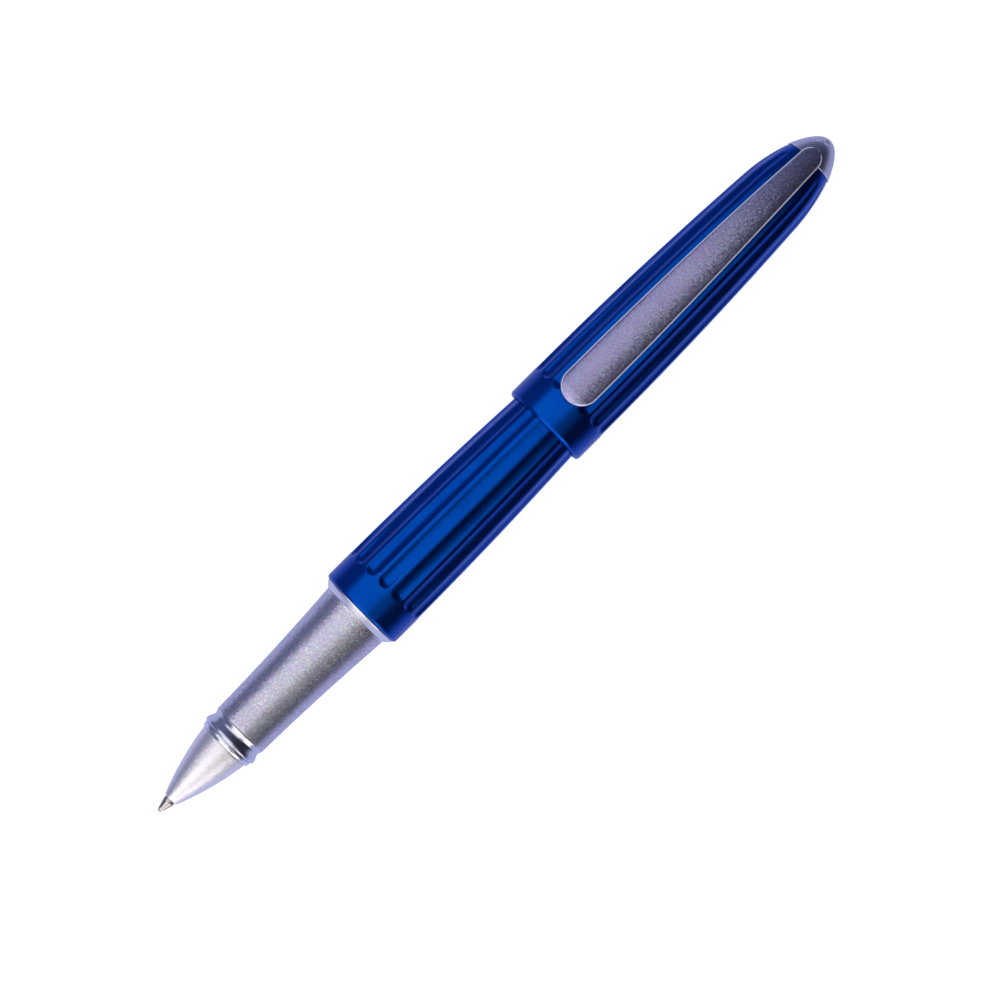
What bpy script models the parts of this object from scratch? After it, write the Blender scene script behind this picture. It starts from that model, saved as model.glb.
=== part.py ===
# Rollerball pen with a fluted aluminium barrel and a cap posted on its tail.
# Stations run in millimetres along the pen, from the ball (0) to the end of the crown.
# The pen lies along +X with its clip up, and the origin is under its middle.

import math

import bpy
import bmesh
from mathutils import Matrix, Vector

MM = 0.001
LENGTH = 150.4
BODY_RADIUS = 7.5
FLUTES = 16
SHELL_STEPS = 64
ROUND_STEPS = 32
SMALL_STEPS = 24
FINE_STEPS = 16
AXIS_HEIGHT = BODY_RADIUS * math.cos(math.pi / SHELL_STEPS)

# Writing tip and refill
BALL_RADIUS = 0.35
SOCKET_RADIUS = 0.42
TIP_RADIUS = 1.0
TIP_CONE_END = 2.15
TIP_END = 10.5
FEED_RADIUS = 1.85
FEED_START = 7.5
REFILL_RADIUS = 3.0
REFILL_BORE = 2.6
REFILL_START = 14.2
REFILL_END = 110.5
REFILL_TUBE_END = 108.1

# Writing section
NOSE_START = 2.7
NOSE_END = 14.64
NOSE_MOUTH_RADIUS = 1.28
RING_END = 18.3
GRIP_START = 18.4
GRIP_END = 43.7
GRIP_FRONT_RADIUS = 4.95
GRIP_FLARE = 1.11
SECTION_BORE = 3.35
CORE_RADIUS = 4.2
CORE_START = 21.3
CORE_END = 53.6
TRIM_START = 43.8
TRIM_END = 44.65
THREAD_PITCH = 1.0
THREAD_MINOR = 4.45
THREAD_MAJOR = 4.9
THREAD_CLEARANCE = 0.13
THREAD_START = 48.0
THREAD_END = 53.0
THREAD_STEPS = 16

# Barrel
BARREL_START = 44.9
BARREL_TAPER_START = 48.0
BARREL_FLUTE_START = 49.9
BARREL_FLUTE_END = 116.0
BARREL_END = 119.4
TAPER_RADIUS = 712.0
BUSH_START = 47.6
BUSH_END = 53.4
BUSH_RADIUS = 5.75
END_PLUG_END = 120.4
SPRING_START = 111.0
SPRING_END = 116.0
SPRING_RADIUS = 2.3
SPRING_WIRE = 0.2
SPRING_TURNS = 3

# Cap
CAP_START = 85.84
CAP_TAPER_START = 92.0
CAP_FLUTE_START = 91.1
CAP_FLUTE_END = 143.8
CAP_NOSE_START = 137.0
CAP_NOSE_LENGTH = 13.4
CAP_END = 145.2
CAP_TAPER_RADIUS = 691.0
CROWN_START = 145.4
CROWN_TRUNCATION = 150.05
ANCHOR_START = 139.7
ANCHOR_END = 144.9
ANCHOR_RADIUS = 3.45

# Flutes
FLUTE_DEPTH = 0.6
FLUTE_END_LENGTH = 1.1
FLUTE_HALF_ANGLE = math.radians(5.0)

# Clip
CLIP_START = 90.8
CLIP_END = 147.1
CLIP_THICKNESS = 1.1
CLIP_HALF_WIDTH = 3.2
CLIP_END_HALF_WIDTH = 2.0
CLIP_FACE_HEIGHT = 9.7
CLIP_SLOPE = 0.0244
CLIP_BEND_START = 118.0
CLIP_DROP = 3.1
CLIP_EDGE = 0.2
BEAD_STATION = 96.5
BEAD_HEIGHT = 8.6
BEAD_RADIUS = 0.8
FOOT_START = 140.9
FOOT_END = 143.9
FOOT_HALF_WIDTH = 1.3
FOOT_BOTTOM = 2.2
PIVOT_STATION = 142.4
PIVOT_HEIGHT = 4.0
SLOT_GAP = 0.3


def clear_scene():
    for obj in list(bpy.data.objects):
        bpy.data.objects.remove(obj, do_unlink=True)


def collection(name):
    group = bpy.data.collections.new(name)
    bpy.context.scene.collection.children.link(group)
    return group


def finish(name, colour, roughness, metallic):
    mat = bpy.data.materials.new(name)
    mat.use_nodes = True
    shader = mat.node_tree.nodes["Principled BSDF"]
    shader.inputs["Base Color"].default_value = (*colour, 1.0)
    shader.inputs["Roughness"].default_value = roughness
    shader.inputs["Metallic"].default_value = metallic
    return mat


def pen_point(station, height=0.0):
    """World place of a station, at a height in millimetres above the pen's axis."""
    return Vector(((station - LENGTH / 2) * MM, 0.0, (AXIS_HEIGHT + height) * MM))


def on_axis():
    """Local +Z becomes the pen's axis and local +X points down."""
    return Matrix.Translation(pen_point(0.0)) @ Matrix.Rotation(math.pi / 2, 4, "Y")


def stations(first, last, count):
    return [first + (last - first) * i / (count - 1) for i in range(count)]


# ---- outlines -------------------------------------------------------------

def nose_radius(x):
    u = x - NOSE_START
    return NOSE_MOUTH_RADIUS + 0.394 * u - 0.0108 * u * u


def grip_radius(x):
    return GRIP_FRONT_RADIUS + GRIP_FLARE * ((x - GRIP_START) / (GRIP_END - GRIP_START)) ** 1.6


def barrel_radius(x):
    return BODY_RADIUS - max(x - BARREL_TAPER_START, 0.0) ** 2 / (2 * TAPER_RADIUS)


def cap_radius(x):
    radius = BODY_RADIUS - max(x - CAP_TAPER_START, 0.0) ** 2 / (2 * CAP_TAPER_RADIUS)
    nose = max(x - CAP_NOSE_START, 0.0) / CAP_NOSE_LENGTH
    return radius * math.sqrt(1 - nose * nose)


def crown_radius(x):
    left = LENGTH - x
    return 2.0 * math.sqrt(left) * (1 - 0.004 * left)


def clip_height(x):
    """Height of the clip's outer face above the axis."""
    bend = max(x - CLIP_BEND_START, 0.0) / (CLIP_END - CLIP_BEND_START)
    return CLIP_FACE_HEIGHT - CLIP_SLOPE * (x - CLIP_START) - CLIP_DROP * bend ** 2.6


def clip_half_width(x):
    """Half the clip's width: a slim taper, with a round end at each side."""
    u = max(x - 96.0, 0.0) / 47.0
    width = CLIP_HALF_WIDTH - (CLIP_HALF_WIDTH - CLIP_END_HALF_WIDTH) * u ** 1.8
    near = min((x - CLIP_START) / CLIP_HALF_WIDTH, 1.0)
    far = min((CLIP_END - x) / CLIP_END_HALF_WIDTH, 1.0)
    return width * math.sqrt(1 - (1 - near) ** 2) * math.sqrt(1 - (1 - far) ** 2)


# ---- builders -------------------------------------------------------------

def add_object(name, mesh, group, mat=None, matrix=None):
    obj = bpy.data.objects.new(name, mesh)
    group.objects.link(obj)
    if mat:
        mesh.materials.append(mat)
    obj.matrix_world = matrix or Matrix()
    return obj


def turned(name, outline, group, mat=None, steps=ROUND_STEPS, closed=True):
    """Turns an outline of (station, radius) points, outer side first, crown end first."""
    mesh = bpy.data.meshes.new(name)
    start = math.pi / steps
    points = [(r * math.cos(start) * MM, r * math.sin(start) * MM, x * MM) for x, r in outline]
    edges = [(i, i + 1) for i in range(len(points) - 1)]
    if closed:
        edges.append((len(points) - 1, 0))
    mesh.from_pydata(points, edges, [])
    obj = add_object(name, mesh, group, mat, on_axis())
    screw = obj.modifiers.new("turn", "SCREW")
    screw.steps = steps
    screw.render_steps = steps
    screw.use_merge_vertices = True
    screw.merge_threshold = 0.00001
    screw.use_smooth_shade = True
    return obj


def applied(obj):
    """Replaces an object's mesh by its evaluated one, with doubles merged."""
    bpy.context.view_layer.update()
    shape = obj.evaluated_get(bpy.context.evaluated_depsgraph_get())
    mesh = bpy.data.meshes.new_from_object(shape)
    mats = list(obj.data.materials)
    obj.modifiers.clear()
    obj.data = mesh
    if not mesh.materials:
        for mat in mats:
            mesh.materials.append(mat)
    return obj


def smooth(obj, degrees=30):
    obj.data.shade_smooth()
    obj.data.set_sharp_from_angle(angle=math.radians(degrees))


def box_cutter(name, low, high, group):
    """A closed box between two corners given as (station, y, height)."""
    bm = bmesh.new()
    bmesh.ops.create_cube(bm, size=1.0)
    size = Vector([(b - a) * MM for a, b in zip(low, high)])
    middle = [(a + b) / 2 for a, b in zip(low, high)]
    place = pen_point(middle[0], middle[2]) + Vector((0.0, middle[1] * MM, 0.0))
    bmesh.ops.scale(bm, vec=size, verts=bm.verts)
    bmesh.ops.translate(bm, vec=place, verts=bm.verts)
    mesh = bpy.data.meshes.new(name)
    bm.to_mesh(mesh)
    bm.free()
    return guide(add_object(name, mesh, group))


def guide(obj):
    obj.hide_render = True
    obj.display_type = "WIRE"
    return obj


def combine(obj, other, operation):
    mod = obj.modifiers.new(operation.lower(), "BOOLEAN")
    mod.operation = operation
    mod.object = other
    mod.solver = "EXACT"
    return mod


def press_flutes(obj, first, last, outer_radius):
    """Presses the round-ended flutes into a turned shell, deepest at its wide end."""
    applied(obj)
    pitch = 2 * math.pi / FLUTES
    for v in obj.data.vertices:
        x = v.co.z / MM
        radius = math.hypot(v.co.x, v.co.y) / MM
        angle = math.atan2(v.co.y, v.co.x)
        aside = abs(angle - pitch * round(angle / pitch))
        if not first < x < last or radius < outer_radius(x) - 0.01 or aside > FLUTE_HALF_ANGLE:
            continue
        rise = min((x - first) / FLUTE_END_LENGTH, (last - x) / FLUTE_END_LENGTH, 1.0)
        depth = FLUTE_DEPTH * (radius / BODY_RADIUS) ** 1.5 * math.sqrt(1 - (1 - rise) ** 2)
        shrink = (radius - depth) / radius
        v.co.x *= shrink
        v.co.y *= shrink


def fluted_rings(first, last, between):
    """Stations that follow a flute: three at each round end, and the given ones between."""
    near = [first + part * FLUTE_END_LENGTH for part in (0.0, 0.2, 1.0)]
    far = [last - part * FLUTE_END_LENGTH for part in (1.0, 0.2, 0.0)]
    return near + between + far


def thread_form(name, first, last, minor, major, group):
    """A closed right-handed threaded plug, trimmed square at both ends.

    The helix starts whole turns before THREAD_START, so two plugs are always in mesh.
    """
    ridge = ((0.0, minor), (0.2, minor), (0.5, major), (0.8, minor), (1.0, minor))
    mesh = bpy.data.meshes.new(name)
    lead_in = math.ceil((THREAD_START - first) / THREAD_PITCH) + 1
    turns = lead_in + math.ceil((last - THREAD_START) / THREAD_PITCH) + 1
    start = THREAD_START - lead_in * THREAD_PITCH
    points = [(r * MM, 0.0, (start + x * THREAD_PITCH) * MM) for x, r in ridge]
    mesh.from_pydata(points, [(i, i + 1) for i in range(len(points) - 1)], [])
    obj = add_object(name, mesh, group, None, on_axis())
    screw = obj.modifiers.new("thread", "SCREW")
    screw.steps = THREAD_STEPS
    screw.render_steps = THREAD_STEPS
    screw.iterations = turns
    screw.screw_offset = THREAD_PITCH * MM
    screw.use_merge_vertices = True
    screw.merge_threshold = 0.00001
    applied(obj)
    bm = bmesh.new()
    bm.from_mesh(obj.data)
    bmesh.ops.remove_doubles(bm, verts=bm.verts, dist=0.00001)
    for station, side in ((first, -1.0), (last, 1.0)):
        everything = bm.verts[:] + bm.edges[:] + bm.faces[:]
        cut = bmesh.ops.bisect_plane(bm, geom=everything, dist=0.000001,
                                     plane_co=(0.0, 0.0, station * MM),
                                     plane_no=(0.0, 0.0, side), clear_outer=True)
        rim = [e for e in cut["geom_cut"] if isinstance(e, bmesh.types.BMEdge)]
        bmesh.ops.triangle_fill(bm, edges=rim, use_beauty=True)
    bmesh.ops.recalc_face_normals(bm, faces=bm.faces)
    bm.to_mesh(obj.data)
    bm.free()
    return guide(obj)


def coil_spring(name, group, mat):
    """A compression spring along the pen's axis, as a mesh."""
    curve = bpy.data.curves.new(name, "CURVE")
    curve.dimensions = "3D"
    curve.bevel_depth = SPRING_WIRE * MM
    curve.bevel_resolution = 2
    curve.use_fill_caps = True
    count = SPRING_TURNS * 12 + 1
    spline = curve.splines.new("POLY")
    spline.points.add(count - 1)
    travel = SPRING_END - SPRING_START - 2 * SPRING_WIRE
    for i, point in enumerate(spline.points):
        part = i / (count - 1)
        angle = part * SPRING_TURNS * 2 * math.pi
        x = SPRING_START + SPRING_WIRE + travel * part
        point.co = (SPRING_RADIUS * math.cos(angle) * MM, SPRING_RADIUS * math.sin(angle) * MM, x * MM, 1.0)
    source = add_object(name + "_path", curve, group, None, on_axis())
    bpy.context.view_layer.update()
    shape = source.evaluated_get(bpy.context.evaluated_depsgraph_get())
    mesh = bpy.data.meshes.new_from_object(shape)
    mesh.materials.clear()
    bm = bmesh.new()
    bm.from_mesh(mesh)
    bmesh.ops.remove_doubles(bm, verts=bm.verts, dist=0.000001)
    bm.to_mesh(mesh)
    bm.free()
    matrix = source.matrix_world.copy()
    bpy.data.objects.remove(source, do_unlink=True)
    return add_object(name, mesh, group, mat, matrix)


# ---- the pen --------------------------------------------------------------

clear_scene()
pen = collection("rollerball_pen")
cutters = collection("cutters")

blue = finish("blue_anodised", (0.0, 0.075, 0.37), 0.3, 1.0)
blasted = finish("blasted_silver", (0.5, 0.48, 0.56), 0.45, 1.0)
satin = finish("satin_silver", (0.68, 0.67, 0.74), 0.32, 1.0)
polished = finish("polished_chrome", (0.75, 0.75, 0.78), 0.1, 1.0)
steel = finish("tip_steel", (0.6, 0.57, 0.53), 0.2, 1.0)
carbide = finish("ball_carbide", (0.4, 0.4, 0.42), 0.15, 1.0)
brass = finish("brass", (0.75, 0.55, 0.25), 0.3, 1.0)
liner_plastic = finish("liner_plastic", (0.03, 0.03, 0.035), 0.45, 0.0)
refill_plastic = finish("refill_plastic", (0.75, 0.76, 0.78), 0.4, 0.0)
felt = finish("ink_felt", (0.02, 0.04, 0.22), 0.9, 0.0)
enamel = finish("dark_enamel", (0.01, 0.02, 0.08), 0.15, 0.0)


def writing_tip():
    outline = [(TIP_END, TIP_RADIUS), (TIP_CONE_END, TIP_RADIUS), (0.75, 0.56), (0.42, 0.46)]
    for degrees in (100, 125, 145):
        angle = math.radians(degrees)
        across = SOCKET_RADIUS * math.sin(angle)
        outline.append((BALL_RADIUS - SOCKET_RADIUS * math.cos(angle), across))
    outline += [(1.2, 0.42), (TIP_END, 0.42)]
    return turned("refill_tip", outline, pen, steel, FINE_STEPS)


def tip_ball():
    bm = bmesh.new()
    bmesh.ops.create_uvsphere(bm, u_segments=16, v_segments=10, radius=BALL_RADIUS * MM)
    mesh = bpy.data.meshes.new("tip_ball")
    bm.to_mesh(mesh)
    bm.free()
    obj = add_object("tip_ball", mesh, pen, carbide)
    obj.location = pen_point(BALL_RADIUS)
    smooth(obj)


def refill():
    writing_tip()
    tip_ball()
    turned("ink_feed_rod", [(17.6, 0.0), (17.6, 0.3), (1.35, 0.3), (1.35, 0.0)], pen, felt, FINE_STEPS, False)
    feed = [(17.0, 2.4), (14.0, 2.4), (13.95, 2.85), (13.5, 2.85), (12.2, FEED_RADIUS),
            (FEED_START + 0.4, FEED_RADIUS), (FEED_START, FEED_RADIUS - 0.4), (FEED_START, 1.15),
            (11.0, 1.15), (11.2, 0.5), (17.0, 0.5)]
    turned("refill_feed", feed, pen, refill_plastic, FINE_STEPS)
    tube = [(REFILL_TUBE_END, REFILL_RADIUS), (REFILL_START, REFILL_RADIUS),
            (REFILL_START, REFILL_BORE), (REFILL_TUBE_END, REFILL_BORE)]
    turned("refill_tube", tube, pen, refill_plastic, SMALL_STEPS)
    wick = [(105.0, 0.0), (105.0, 2.35), (17.9, 2.35), (17.9, 0.0)]
    turned("ink_wick", wick, pen, felt, FINE_STEPS, False)
    plug = [(REFILL_END, 0.0), (REFILL_END, 2.6), (REFILL_END - 0.3, REFILL_RADIUS),
            (REFILL_TUBE_END + 0.2, REFILL_RADIUS), (REFILL_TUBE_END + 0.2, 2.35), (105.8, 2.35),
            (105.8, 0.0)]
    turned("refill_end_plug", plug, pen, refill_plastic, FINE_STEPS, False)


def nose_cone():
    outer = [(21.0, 3.9), (NOSE_END, 3.9)]
    outer += [(x, nose_radius(x)) for x in stations(NOSE_END, NOSE_START, 7)]
    inner = [(NOSE_START, 1.13), (6.5, 1.13), (7.1, 2.1), (12.2, 2.1), (13.6, SECTION_BORE),
             (21.0, SECTION_BORE)]
    turned("nose_cone", outer + inner, pen, satin, SMALL_STEPS)


def snap_ring():
    outline = [(RING_END, 4.1), (RING_END, 4.95), (18.0, 4.78), (17.5, 4.67), (16.8, 4.8), (16.3, 5.06),
               (15.9, 5.17), (15.6, 5.0), (15.5, 4.82), (15.4, 4.87), (14.8, 4.78), (14.75, 4.1)]
    turned("snap_ring", outline, pen, polished, SMALL_STEPS)


def grip_sleeve():
    outer = [(x, grip_radius(x)) for x in stations(GRIP_END, GRIP_START, 6)]
    inner = [(GRIP_START, 4.45), (GRIP_END, 4.45)]
    turned("grip_sleeve", outer + inner, pen, blasted, SMALL_STEPS)


def trim_ring():
    outline = [(TRIM_END, 4.45), (TRIM_END, 6.85), (TRIM_START, 6.1), (TRIM_START, 4.45)]
    turned("rear_trim_ring", outline, pen, satin)


def section_core():
    """The threaded tube that carries the grip, the rings and the nose cone."""
    outline = [(CORE_END, 0.0), (CORE_END, CORE_RADIUS), (CORE_START, CORE_RADIUS), (CORE_START, 0.0)]
    core = turned("section_core", outline, pen, brass, THREAD_STEPS, False)
    thread = thread_form("male_thread", THREAD_START, THREAD_END, THREAD_MINOR, THREAD_MAJOR, cutters)
    combine(core, thread, "UNION")
    bore = [(CORE_END + 1, 0.0), (CORE_END + 1, SECTION_BORE), (CORE_START - 1, SECTION_BORE),
            (CORE_START - 1, 0.0)]
    combine(core, guide(turned("core_bore", bore, cutters, None, THREAD_STEPS, False)), "DIFFERENCE")


def thread_bush():
    """The brass bush in the barrel's mouth, tapped to take the section."""
    minor = THREAD_MINOR + THREAD_CLEARANCE
    outline = [(BUSH_END, BUSH_RADIUS), (BUSH_START, BUSH_RADIUS), (BUSH_START, minor), (BUSH_END, minor)]
    bush = turned("barrel_thread_bush", outline, pen, brass, SMALL_STEPS)
    major = THREAD_MAJOR + THREAD_CLEARANCE
    tap = thread_form("female_thread", BUSH_START - 0.5, BUSH_END + 0.5, minor, major, cutters)
    combine(bush, tap, "DIFFERENCE")


def barrel():
    outer = [(BARREL_END, barrel_radius(BARREL_END))]
    rings = fluted_rings(BARREL_FLUTE_START, BARREL_FLUTE_END, [64.0, 77.0, 90.0, 103.0])
    outer += [(x, barrel_radius(x)) for x in reversed(rings)]
    outer += [(BARREL_START + 0.4, BODY_RADIUS), (BARREL_START, 6.93)]
    inner = [(BARREL_START, 5.95), (54.0, 5.95), (54.1, 5.2), (84.0, 5.0), (104.0, 3.4), (BARREL_END, 3.4)]
    shell = turned("barrel_shell", outer + inner, pen, blue, SHELL_STEPS)
    press_flutes(shell, BARREL_FLUTE_START, BARREL_FLUTE_END, barrel_radius)
    plug = [(END_PLUG_END, 0.0), (END_PLUG_END, 3.3), (END_PLUG_END - 0.4, 3.8), (BARREL_END + 0.15, 3.8),
            (BARREL_END + 0.15, 3.15), (SPRING_END + 0.3, 3.15), (SPRING_END + 0.3, 0.0)]
    turned("barrel_end_plug", plug, pen, satin, SMALL_STEPS, False)
    coil_spring("refill_spring", pen, steel)


def foot_slot(name):
    return box_cutter(name, (FOOT_START - SLOT_GAP, -FOOT_HALF_WIDTH - SLOT_GAP, FOOT_BOTTOM - SLOT_GAP),
                      (FOOT_END + SLOT_GAP, FOOT_HALF_WIDTH + SLOT_GAP, BODY_RADIUS), cutters)


def cap_shell():
    outer = [(CAP_END, cap_radius(CAP_END))]
    rings = fluted_rings(CAP_FLUTE_START, CAP_FLUTE_END, [105.0, 118.0, 130.0, 138.0, 141.0])
    outer += [(x, cap_radius(x)) for x in reversed(rings)]
    outer += [(CAP_START + 0.3, BODY_RADIUS), (CAP_START, BODY_RADIUS - 0.25)]
    inner = [(CAP_START, 6.9), (CAP_START + 0.9, 6.6), (90.8, 6.6), (91.4, 6.35), (120.0, 5.8),
             (138.6, 4.85), (139.4, 3.75), (CAP_END, 3.75)]
    shell = turned("cap_shell", outer + inner, pen, blue, SHELL_STEPS)
    press_flutes(shell, CAP_FLUTE_START, CAP_FLUTE_END, cap_radius)
    combine(shell, foot_slot("shell_slot"), "DIFFERENCE")


def cap_liner():
    outer = [(134.0, 0.0), (134.0, 4.5), (130.0, 5.05), (120.0, 5.55), (100.0, 6.05)]
    inner = [(100.0, 5.8), (101.0, 5.7), (106.0, 5.45), (112.4, 5.4), (113.3, 5.1), (114.2, 5.3),
             (118.0, 5.2), (126.0, 4.7), (132.4, 4.1), (133.0, 3.4), (133.0, 0.0)]
    turned("cap_liner", outer + inner, pen, liner_plastic, SMALL_STEPS, False)


def cap_anchor():
    anchor_outline = [(ANCHOR_END, 1.35), (ANCHOR_END, ANCHOR_RADIUS), (ANCHOR_START, ANCHOR_RADIUS),
                      (ANCHOR_START, 1.35)]
    anchor = turned("clip_anchor", anchor_outline, pen, brass)
    combine(anchor, foot_slot("anchor_slot"), "DIFFERENCE")
    washer = [(139.45, 1.35), (139.45, 2.6), (139.05, 2.6), (139.05, 1.35)]
    turned("lock_washer", washer, pen, steel, SMALL_STEPS)
    screw = [(147.6, 0.0), (147.6, 0.9), (147.3, 1.15), (138.8, 1.15), (138.8, 2.3), (137.7, 2.3),
             (137.5, 2.1), (137.5, 0.0)]
    head = turned("crown_screw", screw, pen, steel, FINE_STEPS, False)
    slit = box_cutter("driver_slot", (137.0, -2.6, -0.3), (138.1, 2.6, 0.3), cutters)
    combine(head, slit, "DIFFERENCE")


def crown():
    outer = [(x, crown_radius(x)) for x in (CROWN_TRUNCATION, 149.8, 149.3, 148.5, 147.4, 146.2, CROWN_START)]
    inner = [(CROWN_START, 1.4), (148.0, 1.4), (148.3, 0.0)]
    rim = [(149.75, 0.0), (149.75, crown_radius(CROWN_TRUNCATION) - 0.18)]
    rim.append((CROWN_TRUNCATION, crown_radius(CROWN_TRUNCATION) - 0.18))
    turned("crown", rim + outer + inner, pen, satin, SMALL_STEPS, False)
    edge = crown_radius(CROWN_TRUNCATION) - 0.3
    inlay = [(LENGTH, 0.0), (LENGTH - 0.04, edge * 0.5), (LENGTH - 0.2, edge), (149.85, edge), (149.85, 0.0)]
    turned("crown_inlay", inlay, pen, enamel, SMALL_STEPS, False)


def clip():
    """A tapered strip, arched to follow the cap, with a foot that hooks into the cap's end."""
    bm = bmesh.new()
    near = [CLIP_START + CLIP_HALF_WIDTH * (1 - math.cos(math.radians(a))) for a in (9, 25, 42, 58, 74, 90)]
    far = [CLIP_END - CLIP_END_HALF_WIDTH * (1 - math.cos(math.radians(a))) for a in (90, 70, 50, 30, 12)]
    along = near + [106.0] + stations(CLIP_BEND_START, 143.0, 9) + far
    sides = []
    for x in along:
        centre = pen_point(x, clip_height(x))
        aside = Vector((0.0, clip_half_width(x) * MM, 0.0))
        sides.append((bm.verts.new(centre - aside), bm.verts.new(centre + aside)))
    for (a, b), (c, d) in zip(sides, sides[1:]):
        bm.faces.new((a, c, d, b))
    mesh = bpy.data.meshes.new("clip_blade")
    bm.to_mesh(mesh)
    bm.free()
    pivot = bpy.data.objects.new("clip_pivot", None)
    pen.objects.link(pivot)
    pivot.location = pen_point(PIVOT_STATION, PIVOT_HEIGHT)
    blade = add_object("clip_blade", mesh, pen, blasted)
    bpy.context.view_layer.update()
    mesh.transform(Matrix.Translation(-pivot.location))
    blade.parent = pivot
    wall = blade.modifiers.new("thickness", "SOLIDIFY")
    wall.thickness = CLIP_THICKNESS * MM
    wall.offset = -1.0
    rim = blade.modifiers.new("edges", "BEVEL")
    rim.width = CLIP_EDGE * MM
    rim.segments = 1
    rim.limit_method = "ANGLE"
    rim.angle_limit = math.radians(50)
    foot_top = clip_height(FOOT_END) - CLIP_THICKNESS / 2
    foot = box_cutter("clip_foot", (FOOT_START, -FOOT_HALF_WIDTH, FOOT_BOTTOM),
                      (FOOT_END, FOOT_HALF_WIDTH, foot_top), cutters)
    combine(blade, foot, "UNION")
    bead_mesh = bpy.data.meshes.new("clip_bead")
    bm = bmesh.new()
    bmesh.ops.create_uvsphere(bm, u_segments=12, v_segments=8, radius=BEAD_RADIUS * MM)
    bmesh.ops.translate(bm, vec=pen_point(BEAD_STATION, BEAD_HEIGHT), verts=bm.verts)
    bm.to_mesh(bead_mesh)
    bm.free()
    combine(blade, guide(add_object("clip_bead", bead_mesh, cutters)), "UNION")


refill()
nose_cone()
snap_ring()
grip_sleeve()
trim_ring()
section_core()
thread_bush()
barrel()
cap_shell()
cap_liner()
cap_anchor()
crown()
clip()
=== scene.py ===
from math import atan2, cos, hypot, pi, radians, sin, sqrt, tau

import bpy
import bmesh
from mathutils import Matrix, Vector


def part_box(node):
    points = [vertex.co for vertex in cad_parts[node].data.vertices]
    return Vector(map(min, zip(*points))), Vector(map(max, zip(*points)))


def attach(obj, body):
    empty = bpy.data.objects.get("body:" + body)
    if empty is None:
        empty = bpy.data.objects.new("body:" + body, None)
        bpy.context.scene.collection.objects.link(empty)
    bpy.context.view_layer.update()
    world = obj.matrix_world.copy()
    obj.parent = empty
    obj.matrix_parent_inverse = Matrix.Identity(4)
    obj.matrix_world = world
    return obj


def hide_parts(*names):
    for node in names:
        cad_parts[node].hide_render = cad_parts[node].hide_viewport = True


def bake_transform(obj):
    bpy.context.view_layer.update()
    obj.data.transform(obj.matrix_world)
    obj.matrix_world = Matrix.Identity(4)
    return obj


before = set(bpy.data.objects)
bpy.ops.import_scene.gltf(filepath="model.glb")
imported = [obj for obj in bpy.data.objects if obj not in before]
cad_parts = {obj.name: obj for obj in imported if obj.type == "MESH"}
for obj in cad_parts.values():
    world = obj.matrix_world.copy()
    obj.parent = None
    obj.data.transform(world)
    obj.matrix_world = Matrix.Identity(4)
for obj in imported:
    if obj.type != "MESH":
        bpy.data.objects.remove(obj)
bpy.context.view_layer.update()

mm = 0.001

# where the pen lies: station 0 is the ball's front, and the axis is level
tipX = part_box("tip_ball")[0][0]
gripLow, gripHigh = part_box("grip_sleeve")
axisY = (gripLow[1] + gripHigh[1]) / 2
axisZ = (gripLow[2] + gripHigh[2]) / 2
capLow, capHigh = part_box("cap_shell")
bodyRadius = (capHigh[1] - capLow[1]) / 2 / mm - 0.001


def station(x):
    return (x - tipX) / mm


def penPoint(x, aside=0.0, up=0.0):
    return Vector((tipX + x * mm, axisY + aside * mm, axisZ + up * mm))


def spread(first, last, count):
    return [first + (last - first) * i / (count - 1) for i in range(count)]


def newGroup(name, inputs, outputs):
    group = bpy.data.node_groups.new(name, "ShaderNodeTree")
    for label, kind, value in inputs:
        socket = group.interface.new_socket(label, in_out="INPUT", socket_type=kind)
        socket.default_value = value
    for label, kind in outputs:
        group.interface.new_socket(label, in_out="OUTPUT", socket_type=kind)
    return group


def addNode(tree, kind, **settings):
    node = tree.nodes.new(kind)
    for key, value in settings.items():
        setattr(node, key, value)
    return node


def mathNode(tree, operation, first, second=None, clamp=False):
    node = addNode(tree, "ShaderNodeMath", operation=operation, use_clamp=clamp)
    for socket, value in zip(node.inputs, (first, second)):
        if value is None:
            continue
        if isinstance(value, (int, float)):
            socket.default_value = value
        else:
            tree.links.new(value, socket)
    return node.outputs[0]


def mixColour(tree, mask, first, second):
    node = addNode(tree, "ShaderNodeMix", data_type="RGBA")
    for socket, value in ((node.inputs[0], mask), (node.inputs[6], first), (node.inputs[7], second)):
        if isinstance(value, tuple):
            socket.default_value = (*value, 1.0)
        elif isinstance(value, (int, float)):
            socket.default_value = value
        else:
            tree.links.new(value, socket)
    return node.outputs[2]


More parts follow.
